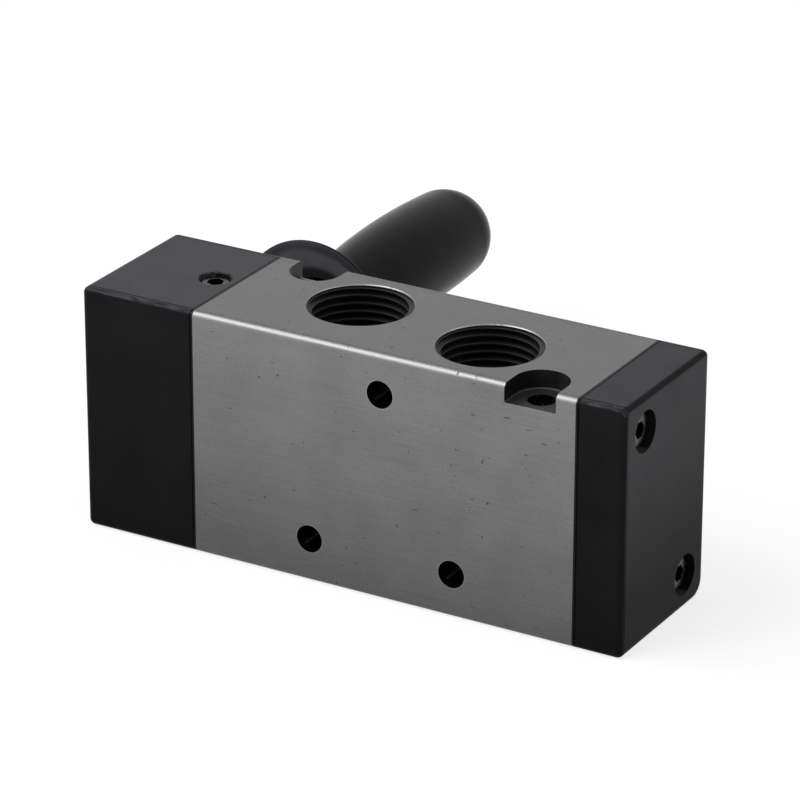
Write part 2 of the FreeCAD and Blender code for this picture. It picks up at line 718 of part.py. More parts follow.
def make_seat_nut():
    body = new_lever_body("seat_nut")
    end = seat_top + size["seat_nut_length"]
    ring = new_sketch(body, "XY_Plane", "ring")
    draw_box(ring, size["seat_nut_hole"] / 2, size["seat_bore"] / 2 - gap, seat_top, end)
    turn(body, ring, "turned")
    half_slot = size["seat_nut_slot"] / 2
    reach = size["seat_bore"]
    slot = new_sketch(body, "XY_Plane", "spanner_slot")
    draw_box(slot, -half_slot, half_slot, end - size["seat_nut_slot_depth"], end + size["cut_margin"])
    feature = new_feature(body, "Pocket", "spanner_slot_cut", slot)
    feature.SideType = "Symmetric"
    bind(feature, "Length", reach)
    return body


def make_lever_handle():
    body = new_lever_body("lever_handle")
    rim = size["rim_diameter"] / 2
    rim_top = rim_start + size["rim_width"]
    dish = size["dish_radius"]
    dish_edge = size["dish_edge"]
    dish_centre = rim_start - leg(dish, dish_edge)
    nut_room = size["nut_room"]
    flare = size["flare_radius"]
    neck = size["neck_radius"]
    flare_x = neck + flare
    room = size["insert_diameter"] / 2
    room_end = skirt_roof + size["insert_length"] + size["insert_room"]
    end_radius = size["grip_end_radius"]
    end_start = neck_start + size["grip_length"]
    belly = neck_start + size["belly_distance"]
    belly_x = grip_curve_centre(neck, neck_start, end_radius, end_start, belly)
    profile = new_sketch(body, "XY_Plane", "profile")
    corners = [
        (ZERO, room_end),
        (room, room_end),
        (room, skirt_roof),
        (nut_room, skirt_roof),
        (nut_room, Free((dish_centre + leg(dish, nut_room)).value)),
        (dish_edge, rim_start),
        (rim, rim_start),
        (rim, rim_top),
        (Free((flare_x - leg(flare, neck_start - rim_top)).value), rim_top),
        (neck, neck_start),
        (end_radius, end_start),
        (ZERO, Free((end_start + end_radius).value)),
    ]
    arcs = {
        4: Arc(ZERO, dish_centre, clockwise=True),
        8: Arc(flare_x, neck_start, clockwise=True),
        9: Arc(Free(belly_x), belly),
        10: Arc(ZERO, end_start),
    }
    draw_outline(profile, corners, arcs)
    turn(body, profile, "turned")
    soften(body, "rim_edges", "Fillet", size["rim_edge_radius"], lambda edge: is_circle(edge, rim.value))
    return body


def grip_curve_centre(neck, neck_start, end_radius, end_start, belly):
    """How far off the axis the grip's long curve has its centre, level with its thickest place."""
    low = belly.value - neck_start.value
    high = end_start.value - belly.value
    rise = end_radius.value - neck.value
    return (end_radius.value ** 2 - neck.value ** 2 + high ** 2 - low ** 2) / (2 * rise)


def make_handle_insert():
    body = new_lever_body("handle_insert")
    start = skirt_roof
    tube = new_sketch(body, "XY_Plane", "tube")
    inner = size["rod_outer_diameter"] / 2 + gap
    outer = size["insert_diameter"] / 2 - gap
    draw_box(tube, inner, outer, start, start + size["insert_length"])
    turn(body, tube, "turned")
    return body


def make_lock_nut():
    body = new_lever_body("lock_nut")
    top = skirt_roof
    bottom = top - size["nut_height"]
    hexagon = new_sketch(body, "XZ_Plane", "hexagon", lift=-bottom)
    draw_hexagon(hexagon, size["nut_flats"])
    pad(body, hexagon, "prism", size["nut_height"], backwards=True)
    hole_radius = size["rod_outer_diameter"] / 2 + gap
    drill(body, "hole", [(bottom, hole_radius), (top, hole_radius)], plane="XY_Plane")
    corner = size["nut_flats"] / math.sqrt(3)
    flat = size["nut_flats"] / 2
    chamfer = size["nut_chamfer"]
    outside = corner + size["cut_margin"]
    corners = new_sketch(body, "XY_Plane", "corners")
    slope = chamfer * (outside - flat) / (corner - flat)
    for end, sign in ((bottom, 1), (top, -1)):
        draw_outline(corners, [(flat, end), (outside, end), (outside, end + slope * sign)])
    turn(body, corners, "corners_cut", "V_Axis", "Groove")
    return body


def make_detent_ball():
    ball = doc.addObject("Part::Sphere", "detent_ball")
    ball.Label = "detent_ball"
    radius = size["detent_ball_diameter"] / 2
    bind(ball, "Radius", radius)
    place(ball, detent_x, ZERO, spool_height + land_radius + gap + radius)
    return ball


def make_detent_screw():
    body = new_body("detent_screw")
    place(body, detent_x)
    top = height - size["detent_screw_recess"]
    bottom = top - size["detent_screw_length"]
    radius = size["detent_ball_diameter"] / 2
    drill_tip = radius / 2
    profile = new_sketch(body, "XZ_Plane", "profile")
    draw_outline(profile, [
        (ZERO, bottom), (radius - drill_tip / 2, bottom), (radius, bottom + drill_tip / 2), (radius, top), (ZERO, top),
    ])
    turn(body, profile, "turned")
    socket = new_sketch(body, "XY_Plane", "socket", lift=top)
    draw_hexagon(socket, size["detent_socket_flats"])
    cut_down(body, socket, "socket_cut", size["detent_socket_depth"])
    return body


def make_detent_spring():
    body = new_body("detent_spring")
    place(body, detent_x)
    wire = size["spring_wire"] / 2
    coil = size["spring_coil"] / 2
    ball = size["detent_ball_diameter"] / 2
    ball_centre = spool_height + land_radius + gap + ball
    bottom = ball_centre + leg(ball + wire + gap, coil)
    top = height - size["detent_screw_recess"] - size["detent_screw_length"] - wire - gap
    section = new_sketch(body, "XZ_Plane", "wire", y=bottom)
    draw_circle(section, coil, ZERO, wire)
    spring = new_feature(body, "AdditiveHelix", "coil", section)
    spring.ReferenceAxis = (section, ["V_Axis"])
    spring.Mode = "height-turns-angle"
    bind(spring, "Height", top - bottom)
    bind(spring, "Turns", size["spring_turns"])
    return body


cap_ring = size["cap_seal_diameter"]
cap_section = size["cap_seal_section"]
spool_section = size["spool_seal_section"]
spool_ring = size["spool_bore"] - gap * 2 - spool_section
pieces = [
    make_valve_body(),
    make_lever_block(),
    make_end_cover(),
    make_cap_screws("lever_block_screws", "left", size["block_length"], -block_end, -1),
    make_cap_screws("end_cover_screws", "right", size["cover_length"], cover_end, 1),
    make_ring("lever_block_seal", cap_ring, cap_section, -(half_length + cap_section / 2)),
    make_ring("end_cover_seal", cap_ring, cap_section, half_length + cap_section / 2),
    make_spool(),
    make_pivot_housing(),
    make_lever_rod(),
    make_ball_seat("inner_ball_seat", -1),
    make_ball_seat("outer_ball_seat", 1),
    make_seat_nut(),
    make_lever_handle(),
    make_handle_insert(),
    make_lock_nut(),
    make_detent_ball(),
    make_detent_spring(),
    make_detent_screw(),
]
seal_offsets = [size["inner_seal_offset"], size["outer_seal_offset"], end_seal_offset]
for seal_number, seal_x in enumerate([-offset for offset in reversed(seal_offsets)] + seal_offsets, 1):
    pieces.append(make_ring(f"spool_seal_{seal_number}", spool_ring, spool_section, seal_x))

doc.recompute()
for item in doc.Objects:
    if {"Invalid", "Error"} & set(item.State):
        raise RuntimeError(f"{item.Label} failed: {item.State}")
for piece in pieces:
    if piece.Shape.isNull() or not piece.Shape.isValid():
        raise RuntimeError(f"{piece.Label} has no valid shape")

os.makedirs("parts", exist_ok=True)
for piece in pieces:
    piece.Shape.exportStep(f"parts/{piece.Label}.step")
    print(f"{piece.Label}: {len(piece.Shape.Solids)} solid, {piece.Shape.Volume:.1f} mm3")
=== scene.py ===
import json
import math

import bpy
from mathutils import Matrix, Vector


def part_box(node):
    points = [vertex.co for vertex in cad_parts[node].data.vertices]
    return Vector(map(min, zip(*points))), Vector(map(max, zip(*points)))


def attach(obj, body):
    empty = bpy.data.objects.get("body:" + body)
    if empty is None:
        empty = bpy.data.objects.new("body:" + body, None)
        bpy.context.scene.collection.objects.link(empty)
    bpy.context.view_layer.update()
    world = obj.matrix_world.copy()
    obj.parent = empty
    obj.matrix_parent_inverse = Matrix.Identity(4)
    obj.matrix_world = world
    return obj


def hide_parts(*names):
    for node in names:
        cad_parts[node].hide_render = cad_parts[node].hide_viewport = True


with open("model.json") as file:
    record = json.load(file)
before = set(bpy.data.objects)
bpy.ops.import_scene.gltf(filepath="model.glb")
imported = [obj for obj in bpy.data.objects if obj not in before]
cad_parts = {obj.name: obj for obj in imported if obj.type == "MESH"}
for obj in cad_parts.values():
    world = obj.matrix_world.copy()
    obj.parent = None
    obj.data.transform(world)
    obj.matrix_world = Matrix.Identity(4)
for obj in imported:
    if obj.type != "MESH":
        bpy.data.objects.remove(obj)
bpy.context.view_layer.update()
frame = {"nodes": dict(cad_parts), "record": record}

bl_info = {
    "name": "Hand Lever Air Valve",
    "version": (1, 0, 0),
    "blender": (4, 5, 0),
    "location": "View3D > Sidebar > Air Valve",
    "description": "Threads, screws, grip and finishes for a hand lever air valve, with a studio around it",
    "category": "Object",
}

MM = 0.001
NODES = frame["nodes"]
BODY_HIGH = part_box("valve_body")[1]
HANDLE_LOW, HANDLE_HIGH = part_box("lever_handle")
TOP = BODY_HIGH.z
SPOOL_HEIGHT = TOP / 2
LEVER_X = (HANDLE_LOW.x + HANDLE_HIGH.x) / 2
PORTS = [mount for mount in frame["record"]["mounts"] if mount["kind"] == "threaded_hole"]

# Features of the body's right half, for the finishes; the left half is the same, turned round
BODY_END = BODY_HIGH.x
SIDE = BODY_HIGH.y
FLAT_EDGE = 12.5 * MM
CROSS_HOLES = ((12.5 * MM, 7.2 * MM), (0.0, 34.0 * MM))
CROSS_HOLE_RADIUS = 2.25 * MM
PORT_PLACE = (12.5 * MM, -2.0 * MM)
PORT_BORE = 8.33 * MM
NOTCH_X = 25.6 * MM
NOTCH_RADIUS = 4.3 * MM
NOTCH_END = -5.0 * MM
NOTCH_FLOOR = 37.4 * MM
DOWN_HOLE_Y = -10.2 * MM
DOWN_HOLE_RADIUS = 2.15 * MM
SKIRT_RIM = HANDLE_LOW.y

# Marks and limits in the finishes
BRUISE = (16.6 * MM, -13.0 * MM)
BRUISE_RADIUS = 0.45 * MM
NICK_SLANT = math.radians(-50)
# Height where the painted shade on the body's sides changes its slope
SHADE_BEND_HEIGHT = 22 * MM
FACING = 0.95  # A face looks along an axis where its normal has more than this along it
MOTTLE_SPAN = (0.3, 0.7)  # Nearly all of a mottled pattern lies between these

# Light: the world's strength, the share of glow in the paper, and each lamp's name, place, aim, size and watts
ROOM_LIGHT = 0.45
PAPER_GLOW = 0.76
SOFTBOXES = (
    ("key_softbox", (-0.46, -0.42, 0.82), (-0.01, 0, 0.03), (0.95, 0.72), 12.0),
    ("fill_softbox", (0.7, 0.2, 0.6), (0, 0, 0.02), (0.6, 0.6), 2.0),
)


def srgb(code):
    """A written colour such as #7A7B7D, as the linear colour that the shaders work in."""
    parts = [int(code[start:start + 2], 16) / 255 for start in (1, 3, 5)]
    linear = [part / 12.92 if part <= 0.04045 else ((part + 0.055) / 1.055) ** 2.4 for part in parts]
    return (*linear, 1.0)


def length(name, description, millimetres):
    return bpy.props.FloatProperty(
        name=name, description=description, default=millimetres * MM, unit="LENGTH", precision=5)


def colour(name, description, code):
    return bpy.props.FloatVectorProperty(
        name=name, description=description, default=srgb(code), subtype="COLOR", size=4, min=0.0, max=1.0)


class PortThreadSizes(bpy.types.PropertyGroup):
    pitch: length("Pitch", "Distance between turns, 19 to the inch", 1.337)
    tall: length("Height", "How far a crest stands in from the bore", 0.82)
    mouth: length("Mouth", "Plain mouth before the first turn", 0.35)
    crest: bpy.props.FloatProperty(
        name="Crest", description="Width of a crest against its root", default=0.16, subtype="FACTOR")
    steps: bpy.props.IntProperty(name="Steps", description="Facets in one turn", default=72, min=12)


class GripSizes(bpy.types.PropertyGroup):
    rim_width: length("Rim", "Width of the skirt's edge", 0.8)
    rim_round: length("Rim rounding", "Rounding of the skirt's edge", 0.3)
    dish: length("Dish", "Radius of the shallow dish in the underside", 28.0)
    dish_edge: length("Dish edge", "Where the dish meets the rim, from the axis", 12.6)
    pocket: length("Pocket", "Radius of the pocket round the lock nut", 6.6)
    pocket_depth: length("Pocket depth", "Depth of that pocket behind the rim", 6.0)
    insert: length("Insert", "Radius of the hole for the insert", 4.0)
    insert_depth: length("Insert depth", "Depth of that hole behind the pocket", 16.0)
    flare: length("Flare", "Radius of the hollow flare", 8.0)
    flare_height: length("Flare height", "From the rim to where the grip begins", 8.5)
    neck: length("Neck", "Radius where the grip begins", 6.9)
    belly: length("Belly", "From there to the thickest place", 23.0)
    end_start: length("End start", "From there to the round end", 35.0)
    steps: bpy.props.IntProperty(name="Steps", description="Facets round the grip", default=96, min=16)


class ScrewSizes(bpy.types.PropertyGroup):
    head: length("Head", "Radius of a cap screw's head", 2.75)
    head_height: length("Head height", "Height of that head", 3.0)
    shank: length("Shank", "Radius of the shank", 1.5)
    flats: length("Flats", "Hexagon socket across flats", 2.5)
    socket: length("Socket", "Depth of the socket", 1.6)
    flute: length("Flute", "Depth of the knurl round the head", 0.12)
    flutes: bpy.props.IntProperty(name="Flutes", description="Grooves of that knurl", default=30, min=8)


class FinishColours(bpy.types.PropertyGroup):
    body: colour("Body", "Grey anodised aluminium", "#767677")
    ends: colour("Ends", "Black lever block and cover", "#0B0B0C")
    grip: colour("Grip", "Black moulded grip", "#0C0C0D")
    screws: colour("Screws", "Screws in the black parts", "#3C3D40")
    backdrop: colour("Backdrop", "Paper that the valve stands on", "#F2F2F2")


class StudioSettings(bpy.types.PropertyGroup):
    eye: bpy.props.FloatVectorProperty(
        name="Camera", description="Where the camera stands", subtype="TRANSLATION", size=3,
        default=(0.31618, -0.55108, 0.30368))
    aim: bpy.props.FloatVectorProperty(
        name="Aim", description="Direction that the camera looks in", subtype="DIRECTION", size=3,
        default=(-0.461209, 0.793050, -0.397943))
    level: bpy.props.FloatVectorProperty(
        name="Level", description="Direction to the camera's right", subtype="DIRECTION", size=3,
        default=(0.864121, 0.503282, 0.001475))
    lens: bpy.props.FloatProperty(name="Lens", description="Focal length in millimetres", default=204.2)


GROUPS = {
    "valve_threads": PortThreadSizes,
    "valve_grip": GripSizes,
    "valve_screws": ScrewSizes,
    "valve_colours": FinishColours,
    "valve_studio": StudioSettings,
}


def join(node, inputs):
    """Sets inputs of a node, given by name or number, to values or to other nodes' outputs."""
    for name, value in inputs.items():
        if isinstance(value, bpy.types.NodeSocket):
            node.id_data.links.new(value, node.inputs[name])
        else:
            node.inputs[name].default_value = value


def add(tree, kind, *values, output=None, **named):
    """Adds one shader node and returns its first output, or the one that is named.

    Values fill its inputs in order. A name with a capital is also an input, and any other name is a setting.
    """
    node = tree.nodes.new("ShaderNode" + kind)
    for name, value in named.items():
        if name.islower():
            setattr(node, name, value)
    in_use = [number for number, socket in enumerate(node.inputs) if socket.enabled]
    join(node, dict(zip(in_use, values)))
    join(node, {name.replace("_", " "): value for name, value in named.items() if not name.islower()})
    outputs = [socket for socket in node.outputs if socket.enabled and output in (None, socket.name)]
    return outputs[0] if outputs else None


def new_finish(name, **constants):
    """A material with only its surface shader; returns the material, its tree and the shader."""
    material = bpy.data.materials.new(name)
    material.use_nodes = True
    tree = material.node_tree
    tree.nodes.clear()
    surface = add(tree, "BsdfPrincipled", **constants)
    add(tree, "OutputMaterial", Surface=surface)
    return material, tree, surface.node


def chain(tree, operation, first, *others):
    """Combines any number of values or masks, two at a time: their product, sum or maximum."""
    for other in others:
        first = add(tree, "Math", first, other, operation=operation)
    return first


def places(tree, output="Object"):
    """The three coordinates of a point on the surface, in the valve's frame, or of its normal."""
    return add(tree, "SeparateXYZ", add(tree, "TexCoord", output=output)).node.outputs


def mottle(tree, scale, detail=2.0, stretch=(1, 1, 1), turn=(0, 0, 0)):
    """An uneven pattern; scale is in cells per metre, stretch and turn shape it along the piece."""
    spot = add(tree, "Mapping", add(tree, "TexCoord", output="Object"), Scale=stretch, Rotation=turn)
    return add(tree, "TexNoise", spot, Scale=scale, Detail=detail)


def distance(tree, first, second, centre):
    """How far the point of two coordinates is from a centre."""
    squares = []
    for value, middle in zip((first, second), centre):
        offset = add(tree, "Math", value, middle, operation="SUBTRACT")
        squares.append(add(tree, "Math", offset, offset, operation="MULTIPLY"))
    return add(tree, "Math", add(tree, "Math", *squares, operation="ADD"), operation="SQRT")


def handling_marks(tree, x, y, rear, level, grain):
    """A mask of what handling leaves: pits, slanted nicks, one bruise, and edges rubbed in dots."""
    # Pits are 0.2 mm wide, nicks about 2 mm long
    pits = add(tree, "MapRange", mottle(tree, 1100.0, 1.0), 0.745, 0.775)
    slanted = mottle(tree, 1.0, 1.0, stretch=(420, 420, 2600), turn=(0, NICK_SLANT, 0))
    nicks = add(tree, "MapRange", slanted, 0.77, 0.80)
    bruised = add(tree, "Math", distance(tree, x, y, BRUISE), BRUISE_RADIUS, operation="LESS_THAN")
    bruise = chain(tree, "MULTIPLY", bruised, add(tree, "Math", grain, 0.5, operation="GREATER_THAN"))
    # The dots are 0.15 mm wide and lie where the flat top ends
    brink = add(tree, "Math", rear, FLAT_EDGE - 0.2 * MM, 0.16 * MM, operation="COMPARE")
    dots = add(tree, "Math", mottle(tree, 3500.0, 1.0), 0.54, operation="GREATER_THAN")
    wear_and_highlight = chain(tree, "MULTIPLY", brink, level, dots)
    return chain(tree, "MAXIMUM", pits, nicks, bruise, wear_and_highlight)


def recess_tones(tree, tone, out, rear, across, z, upright, level):
    """The tone of the body's faces, changed to the painted shade and painted highlights of its holes, ports and
    notches where they are.
    """
    # Reamed holes for the mounting bolts are painted dark inside, as painted shade, with a light ring round their
    # mouths
    reach = chain(tree, "MINIMUM", *(distance(tree, out, z, centre) for centre in CROSS_HOLES))
    mouth = add(tree, "Math", reach, CROSS_HOLE_RADIUS + 0.08 * MM, 0.07 * MM, operation="COMPARE")
    on_side = add(tree, "Math", rear, SIDE - 0.1 * MM, operation="GREATER_THAN")
    ring = add(tree, "MapRange", chain(tree, "MULTIPLY", mouth, on_side), To_Min=1.0, To_Max=1.3)
    tone = chain(tree, "MULTIPLY", tone, ring)
    in_hole = chain(tree, "MULTIPLY",
                    add(tree, "Math", reach, CROSS_HOLE_RADIUS + 0.02 * MM, operation="LESS_THAN"),
                    add(tree, "Math", rear, SIDE - 0.05 * MM, operation="LESS_THAN"))
    # The ports are painted dark inside as painted shade; the crests and roots of the threads are painted highlights,
    # fine lines painted stronger on both sides of the bore
    from_port = distance(tree, out, across, PORT_PLACE)
    in_port = chain(tree, "MULTIPLY",
                    add(tree, "Math", from_port, PORT_BORE + 0.09 * MM, operation="LESS_THAN"),
                    add(tree, "Math", z, TOP - 0.14 * MM, operation="LESS_THAN"))
    crests = add(tree, "MapRange", from_port, PORT_BORE - 0.80 * MM, PORT_BORE - 0.73 * MM, 0.16, 0.0)
    roots = add(tree, "MapRange", from_port, PORT_BORE - 0.17 * MM, PORT_BORE - 0.07 * MM, 0.0, 0.09)
    beside = add(tree, "Math", out, PORT_PLACE[0], operation="SUBTRACT")
    beside = add(tree, "Math", beside, operation="ABSOLUTE")
    wear_and_highlight = add(tree, "MapRange", beside, 1.5 * MM, 5.5 * MM, 0.3, 1.4)
    lines = chain(tree, "MULTIPLY", chain(tree, "ADD", crests, roots), wear_and_highlight)
    threads = chain(tree, "ADD", lines, 0.045)
    # The milled notches are painted darker than the brushed faces, their walls and floors as painted shade, with a
    # painted highlight streaking down the wall
    in_notch = chain(tree, "MULTIPLY",
                     add(tree, "Math", out, NOTCH_X, NOTCH_RADIUS + 0.03 * MM, operation="COMPARE"),
                     add(tree, "Math", across, NOTCH_END, operation="LESS_THAN"),
                     add(tree, "Math", z, TOP - 0.04 * MM, operation="LESS_THAN"),
                     add(tree, "Math", z, NOTCH_FLOOR - 0.1 * MM, operation="GREATER_THAN"))
    from_streak = add(tree, "Math", out, NOTCH_X + 2.0 * MM, operation="SUBTRACT")
    from_streak = add(tree, "Math", from_streak, operation="ABSOLUTE")
    wall = add(tree, "MapRange", from_streak, 0.0, 1.8 * MM, 0.34, 0.09)
    on_floor = chain(tree, "MULTIPLY", in_notch, level)
    # Painted highlights make a bright line in the corner of the notch and along the floor's open edge
    in_corner = chain(tree, "MULTIPLY", in_notch,
                      add(tree, "Math", z, NOTCH_FLOOR + 0.22 * MM, operation="LESS_THAN"),
                      add(tree, "Math", upright, 0.5, operation="LESS_THAN"))
    on_lip = chain(tree, "MULTIPLY", on_floor,
                   add(tree, "Math", rear, SIDE - 0.22 * MM, operation="GREATER_THAN"))
    # The down holes are painted dark inside as painted shade, with painted glints
    from_down_hole = distance(tree, out, across, (NOTCH_X, DOWN_HOLE_Y))
    in_down_hole = chain(tree, "MULTIPLY",
                         add(tree, "Math", from_down_hole, DOWN_HOLE_RADIUS + 0.45 * MM, operation="LESS_THAN"),
                         add(tree, "Math", z, NOTCH_FLOOR - 0.01 * MM, operation="LESS_THAN"))
    glints = add(tree, "MapRange", mottle(tree, 2600.0, 1.0), 0.63, 0.66, 0.02, 0.8)
    recesses = (
        (in_port, threads),
        (in_notch, wall),
        (on_floor, 0.27),
        (in_corner, 1.2),
        (on_lip, 1.1),
        (in_down_hole, glints),
        (in_hole, 0.02),
    )
    for mask, inside in recesses:
        tone = add(tree, "Mix", mask, tone, inside)
    return tone


def grey_anodised_aluminium():
    """Extruded bar, brushed and grey anodised: an even soft sheen, faint lines, the dents of handling, and painted
    shade and highlights.
    """
    material, tree, shader = new_finish("grey_anodised_aluminium", Metallic=0.9)
    shade = bpy.context.scene.valve_colours.body
    x, y, z = places(tree)
    out, rear = (add(tree, "Math", value, operation="ABSOLUTE") for value in (x, y))
    # Ports and notches are the same on both sides once the left half is turned onto the right one
    across = add(tree, "Math", y, add(tree, "Math", x, operation="SIGN"), operation="MULTIPLY")
    upright = add(tree, "Math", places(tree, "Normal")[2], operation="ABSOLUTE")
    level = add(tree, "Math", upright, FACING, operation="GREATER_THAN")
    # Brushing runs along the bar, in lines 0.15 mm apart
    lines = mottle(tree, 1.0, 3.0, stretch=(90, 6500, 6500))
    # Anodising takes unevenly, in clouds about 10 mm across and a grain of 0.4 mm
    clouds = mottle(tree, 100.0, 4.0)
    grain = mottle(tree, 2600.0, 2.0)
    marks = handling_marks(tree, x, y, rear, level, grain)
    # The two ends meet the black parts in a fine dark joint, and the lower edge stands in its own shade
    joint = add(tree, "Math", out, BODY_END - 0.3 * MM, operation="GREATER_THAN")
    foot = add(tree, "Math", z, 0.3 * MM, operation="LESS_THAN")
    # Painted shade: the sides are painted darker towards the underside and lighter near the top, and the top faces
    # are painted darker than the sides
    tone = chain(tree, "MULTIPLY",
                 add(tree, "MapRange", z, 0.0, SHADE_BEND_HEIGHT, 0.53, 0.89),
                 add(tree, "MapRange", z, SHADE_BEND_HEIGHT, TOP - 0.5 * MM, 1.0, 1.19),
                 add(tree, "MapRange", level, To_Min=1.0, To_Max=0.68),
                 add(tree, "MapRange", clouds, *MOTTLE_SPAN, 0.92, 1.08),
                 add(tree, "MapRange", lines, *MOTTLE_SPAN, 0.93, 1.07),
                 add(tree, "MapRange", grain, *MOTTLE_SPAN, 0.94, 1.06),
                 add(tree, "MapRange", marks, To_Min=1.0, To_Max=0.45),
                 add(tree, "MapRange", joint, To_Min=1.0, To_Max=0.06),
                 add(tree, "MapRange", foot, To_Min=1.0, To_Max=0.55))
    tone = recess_tones(tree, tone, out, rear, across, z, upright, level)
    dyed = add(tree, "VectorMath", shade[:3], Scale=tone, operation="SCALE")
    # Chamfers at the ports' mouths are cut last and show dull bare metal
    bare = chain(tree, "MULTIPLY",
                 add(tree, "Math", upright, math.sqrt(0.5), 0.05, operation="COMPARE"),
                 add(tree, "Math", rear, FLAT_EDGE - 0.3 * MM, operation="LESS_THAN"))
    brushed = add(tree, "Bump", Height=lines, Distance=0.004 * MM)
    dents = add(tree, "MapRange", marks, To_Min=1.0, To_Max=0.0)
    join(shader, {
        "Base Color": add(tree, "Mix", bare, dyed, srgb("#7C7C7D"), data_type="RGBA"),
        "Roughness": add(tree, "MapRange", clouds, 0.2, 0.8, 0.38, 0.50),
        "Normal": add(tree, "Bump", Height=dents, Distance=0.05 * MM, Normal=brushed),
    })
    return material


def black_baked_enamel():
    """Die-cast zinc under matt black baked enamel: fine orange peel, and a dull sheen at low angles that is painted
    into the colour of the tops.
    """
    material, tree, shader = new_finish("black_baked_enamel", IOR=1.5, Specular_IOR_Level=0.03)
    shade = bpy.context.scene.valve_colours.ends
    x, y, z = places(tree)
    out, rear = (add(tree, "Math", value, operation="ABSOLUTE") for value in (x, y))
    endways, sideways, upwards = places(tree, "Normal")
    endways, sideways = (add(tree, "Math", value, operation="ABSOLUTE") for value in (endways, sideways))
    # Orange peel is about 0.6 mm across, rubbed patches about 8 mm
    peel = mottle(tree, 1600.0, 2.0)
    patches = mottle(tree, 120.0, 4.0)
    # Painted sheen and shade: the tops are painted grey, more on the lever block than on the cover, and the faces
    # are painted darker towards the foot, the ends most of all
    on_top = add(tree, "Math", upwards, FACING, operation="GREATER_THAN")
    on_end = add(tree, "Math", endways, FACING, operation="GREATER_THAN")
    painted_top_sheen = chain(tree, "MULTIPLY", on_top, add(tree, "MapRange", x, -34 * MM, 34 * MM, 11.0, 8.6))
    painted_end_shading = chain(tree, "MULTIPLY", on_end, add(tree, "MapRange", z, 6 * MM, 32 * MM, 0.6, 9.5))
    # The top's long edges carry a painted highlight, and are scuffed to a grey primer in patches about 1.5 mm long
    scuffs = mottle(tree, 1.0, 3.0, stretch=(500, 2500, 2500))
    edge_highlight_and_wear = chain(tree, "MULTIPLY",
                   add(tree, "Math", sideways, 0.5, 0.36, operation="COMPARE"),
                   add(tree, "Math", z, TOP - 1.1 * MM, operation="GREATER_THAN"),
                   add(tree, "MapRange", scuffs, 0.35, 0.7, 0.2, 1.0),
                   14.0)
    grey = chain(tree, "MAXIMUM", add(tree, "MapRange", z, 0.0, TOP, 1.2, 2.4), painted_top_sheen, painted_end_shading, edge_highlight_and_wear)
    # The joint with the body and the brink of the flat top are fine dark lines, without the painted sheen
    joint = add(tree, "Math", out, BODY_END + 0.3 * MM, operation="LESS_THAN")
    brink = chain(tree, "MULTIPLY",
                  add(tree, "Math", rear, FLAT_EDGE - 0.13 * MM, 0.15 * MM, operation="COMPARE"), on_top)
    dark_lines = chain(tree, "MAXIMUM", joint, brink)
    grey = chain(tree, "MULTIPLY", grey,
                 add(tree, "MapRange", patches, *MOTTLE_SPAN, 0.85, 1.2),
                 add(tree, "MapRange", dark_lines, To_Min=1.0, To_Max=0.08))
    # The enamel steps down by a hair where the flat top ends
    step = add(tree, "MapRange", rear, FLAT_EDGE - 0.12 * MM, FLAT_EDGE + 0.02 * MM, 1.0, 0.0)
    stepped = add(tree, "Bump", Height=step, Distance=0.1 * MM)
    join(shader, {
        "Base Color": add(tree, "VectorMath", shade[:3], Scale=grey, operation="SCALE"),
        "Roughness": add(tree, "MapRange", patches, 0.25, 0.75, 0.30, 0.42),
        "Normal": add(tree, "Bump", Height=peel, Distance=0.008 * MM, Normal=stepped),
    })
    return material


def black_moulded_phenolic():
    """Compression-moulded phenolic: deep black with a smooth, slightly uneven gloss, and a painted pool of light
    under its skirt.
    """
    material, tree, shader = new_finish("black_moulded_phenolic", IOR=1.5, Specular_IOR_Level=0.07)
    shade = bpy.context.scene.valve_colours.grip
    # The mould's polish shows as waves about 3 mm long, fingers leave 6 mm dull patches
    waves = mottle(tree, 330.0, 2.0)
    patches = mottle(tree, 160.0, 3.0)
    # Painted light: the skirt's underside is painted grey, as a painted pool of light, strongest between its rim and
    # its pocket
    along = places(tree)[1]
    bloom_and_painted_light = chain(tree, "MULTIPLY",
                  add(tree, "MapRange", places(tree, "Normal")[1], -0.75, -0.9),
                  add(tree, "MapRange", along, SKIRT_RIM, SKIRT_RIM + 1.2 * MM, 0.3, 1.8),
                  add(tree, "MapRange", along, SKIRT_RIM + 1.2 * MM, SKIRT_RIM + 1.8 * MM, 1.0, 0.1))
    tone = chain(tree, "MULTIPLY",
                 add(tree, "MapRange", patches, *MOTTLE_SPAN, 0.85, 1.2),
                 add(tree, "MapRange", bloom_and_painted_light, To_Min=1.0, To_Max=27.0))
    join(shader, {
        "Base Color": add(tree, "VectorMath", shade[:3], Scale=tone, operation="SCALE"),
        "Roughness": add(tree, "MapRange", patches, 0.25, 0.75, 0.18, 0.28),
        "Normal": add(tree, "Bump", Height=waves, Distance=0.006 * MM),
    })
    return material


